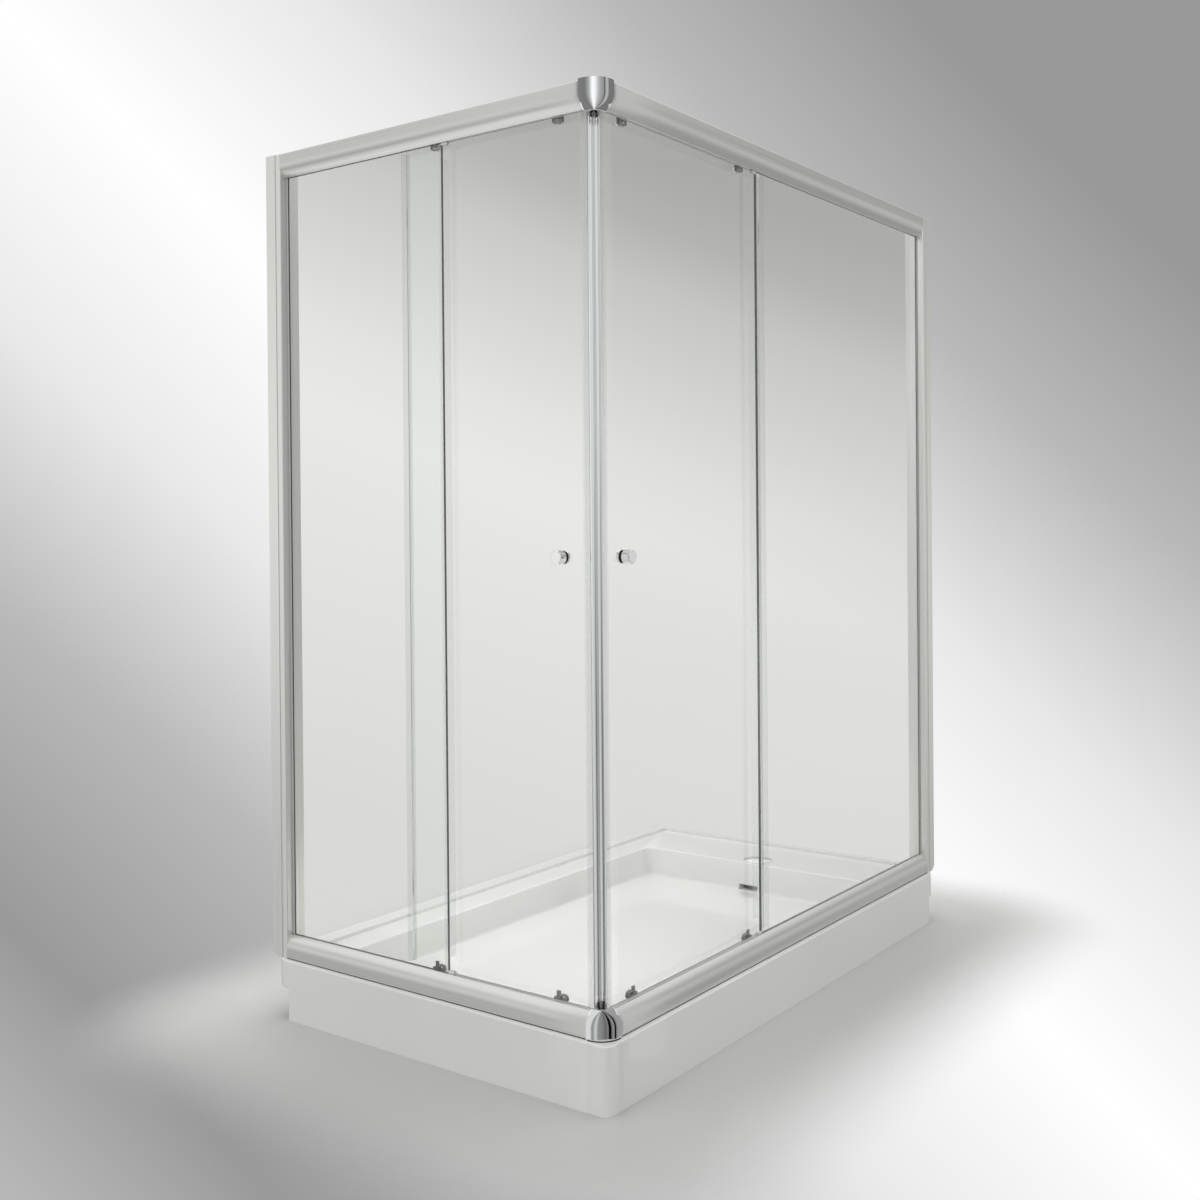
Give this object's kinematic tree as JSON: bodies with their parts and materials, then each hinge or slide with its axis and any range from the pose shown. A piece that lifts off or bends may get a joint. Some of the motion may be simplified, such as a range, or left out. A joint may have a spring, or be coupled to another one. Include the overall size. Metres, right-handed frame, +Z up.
{
  "type": "shower_enclosure_sliding_door",
  "caption": "Rectangular corner-entry shower enclosure: glazed sides on a deep acrylic tray, each with a fixed pane and a sliding glass door closing at the corner",
  "frame": {"origin": "bottom centre of the bounding box, on the floor", "axes": "+X runs along the long side from the entry corner to the wall behind the trap, +Y along the short side to the other wall, +Z up"},
  "size_m": [1.605, 0.965, 1.989],
  "materials": {
    "acrylic_white": "gloss white acrylic",
    "anodised": "satin silver anodised",
    "chrome": "bright chrome",
    "clear_glass": "clear toughened glass",
    "clear_seal": "clear soft polymer",
    "dark_gasket": "matte dark rubber",
    "grey_plastic": "satin grey plastic",
    "nylon": "white nylon",
    "steel": "stainless steel",
    "cast_alloy": "die-cast alloy",
    "white_plastic": "moulded white plastic",
    "board": "resin-sealed board"
  },
  "bodies": {
    "enclosure": {"shower_tray": "acrylic_white", "tray_base_board": "board", "tray_feet": "steel", "waste_trap": "white_plastic", "waste_cap": "chrome", "corner_cap_top": "chrome", "corner_cap_bottom": "chrome", "corner_bracket_top": "cast_alloy", "corner_bracket_bottom": "cast_alloy", "bracket_screws": "steel", "frame_screws": "steel", "track_stops": "dark_gasket", "pane_stops": "white_plastic", "top_rail_short": "anodised", "bottom_rail_short": "anodised", "wall_channel_short": "anodised", "stile_short": "anodised", "fixed_glass_short": "clear_glass", "pane_seal_short": "clear_seal", "glazing_gasket_short": "dark_gasket", "top_rail_long": "anodised", "bottom_rail_long": "anodised", "wall_channel_long": "anodised", "stile_long": "anodised", "fixed_glass_long": "clear_glass", "pane_seal_long": "clear_seal", "glazing_gasket_long": "dark_gasket"},
    "door_short": {"door_glass_short": "clear_glass", "magnet_strip_short": "chrome", "strip_carrier_short": "clear_seal", "rear_seal_short": "clear_seal", "knob_outer_short": "chrome", "knob_inner_short": "chrome", "knob_fixings_short": "dark_gasket", "top_brackets_short": "grey_plastic", "bottom_housings_short": "grey_plastic", "roller_screws_short": "chrome"},
    "carrier_short_front": {"wheel_carrier_short_front": "grey_plastic"},
    "top_wheel_short_front_body": {"top_wheel_short_front": "nylon"},
    "bottom_wheel_short_front_body": {"bottom_wheel_short_front": "nylon"},
    "carrier_short_rear": {"wheel_carrier_short_rear": "grey_plastic"},
    "top_wheel_short_rear_body": {"top_wheel_short_rear": "nylon"},
    "bottom_wheel_short_rear_body": {"bottom_wheel_short_rear": "nylon"},
    "door_long": {"door_glass_long": "clear_glass", "magnet_strip_long": "chrome", "strip_carrier_long": "clear_seal", "rear_seal_long": "clear_seal", "knob_outer_long": "chrome", "knob_inner_long": "chrome", "knob_fixings_long": "dark_gasket", "top_brackets_long": "grey_plastic", "bottom_housings_long": "grey_plastic", "roller_screws_long": "chrome"},
    "carrier_long_front": {"wheel_carrier_long_front": "grey_plastic"},
    "top_wheel_long_front_body": {"top_wheel_long_front": "nylon"},
    "bottom_wheel_long_front_body": {"bottom_wheel_long_front": "nylon"},
    "carrier_long_rear": {"wheel_carrier_long_rear": "grey_plastic"},
    "top_wheel_long_rear_body": {"top_wheel_long_rear": "nylon"},
    "bottom_wheel_long_rear_body": {"bottom_wheel_long_rear": "nylon"}
  },
  "joints": [
    {"name": "door_short_slide", "type": "slide", "parent": "enclosure", "child": "door_short", "axis": [0, 1, 0], "range_m": [0, 0.268]},
    {"name": "release_short_front", "type": "slide", "parent": "door_short", "child": "carrier_short_front", "axis": [0, 0, 1], "range_m": [-0.006, 0], "stiffness_N_per_m": 900, "springref_m": 0.003},
    {"name": "top_wheel_short_front_spin", "type": "hinge", "parent": "door_short", "child": "top_wheel_short_front_body", "pos_m": [-0.7574, -0.3435, 1.95185], "axis": [1, 0, 0], "continuous": true},
    {"name": "bottom_wheel_short_front_spin", "type": "hinge", "parent": "carrier_short_front", "child": "bottom_wheel_short_front_body", "pos_m": [-0.7574, -0.3335, 0.17015], "axis": [1, 0, 0], "continuous": true},
    {"name": "release_short_rear", "type": "slide", "parent": "door_short", "child": "carrier_short_rear", "axis": [0, 0, 1], "range_m": [-0.006, 0], "stiffness_N_per_m": 900, "springref_m": 0.003},
    {"name": "top_wheel_short_rear_spin", "type": "hinge", "parent": "door_short", "child": "top_wheel_short_rear_body", "pos_m": [-0.7574, -0.0185, 1.95185], "axis": [1, 0, 0], "continuous": true},
    {"name": "bottom_wheel_short_rear_spin", "type": "hinge", "parent": "carrier_short_rear", "child": "bottom_wheel_short_rear_body", "pos_m": [-0.7574, -0.0085, 0.17015], "axis": [1, 0, 0], "continuous": true},
    {"name": "door_long_slide", "type": "slide", "parent": "enclosure", "child": "door_long", "axis": [1, 0, 0], "range_m": [0, 0.478]},
    {"name": "release_long_front", "type": "slide", "parent": "door_long", "child": "carrier_long_front", "axis": [0, 0, 1], "range_m": [-0.006, 0], "stiffness_N_per_m": 900, "springref_m": 0.003},
    {"name": "top_wheel_long_front_spin", "type": "hinge", "parent": "door_long", "child": "top_wheel_long_front_body", "pos_m": [-0.6635, -0.4374, 1.95185], "axis": [0, 1, 0], "continuous": true},
    {"name": "bottom_wheel_long_front_spin", "type": "hinge", "parent": "carrier_long_front", "child": "bottom_wheel_long_front_body", "pos_m": [-0.6535, -0.4374, 0.17015], "axis": [0, 1, 0], "continuous": true},
    {"name": "release_long_rear", "type": "slide", "parent": "door_long", "child": "carrier_long_rear", "axis": [0, 0, 1], "range_m": [-0.006, 0], "stiffness_N_per_m": 900, "springref_m": 0.003},
    {"name": "top_wheel_long_rear_spin", "type": "hinge", "parent": "door_long", "child": "top_wheel_long_rear_body", "pos_m": [-0.2045, -0.4374, 1.95185], "axis": [0, 1, 0], "continuous": true},
    {"name": "bottom_wheel_long_rear_spin", "type": "hinge", "parent": "carrier_long_rear", "child": "bottom_wheel_long_rear_body", "pos_m": [-0.1945, -0.4374, 0.17015], "axis": [0, 1, 0], "continuous": true}
  ],
  "couplings": [
    {"joint": "top_wheel_short_front_spin", "follows": "door_short_slide", "rad_per_m": -116.28},
    {"joint": "bottom_wheel_short_front_spin", "follows": "door_short_slide", "rad_per_m": 116.28},
    {"joint": "top_wheel_short_rear_spin", "follows": "door_short_slide", "rad_per_m": -116.28},
    {"joint": "bottom_wheel_short_rear_spin", "follows": "door_short_slide", "rad_per_m": 116.28},
    {"joint": "top_wheel_long_front_spin", "follows": "door_long_slide", "rad_per_m": 116.28},
    {"joint": "bottom_wheel_long_front_spin", "follows": "door_long_slide", "rad_per_m": -116.28},
    {"joint": "top_wheel_long_rear_spin", "follows": "door_long_slide", "rad_per_m": 116.28},
    {"joint": "bottom_wheel_long_rear_spin", "follows": "door_long_slide", "rad_per_m": -116.28}
  ]
}
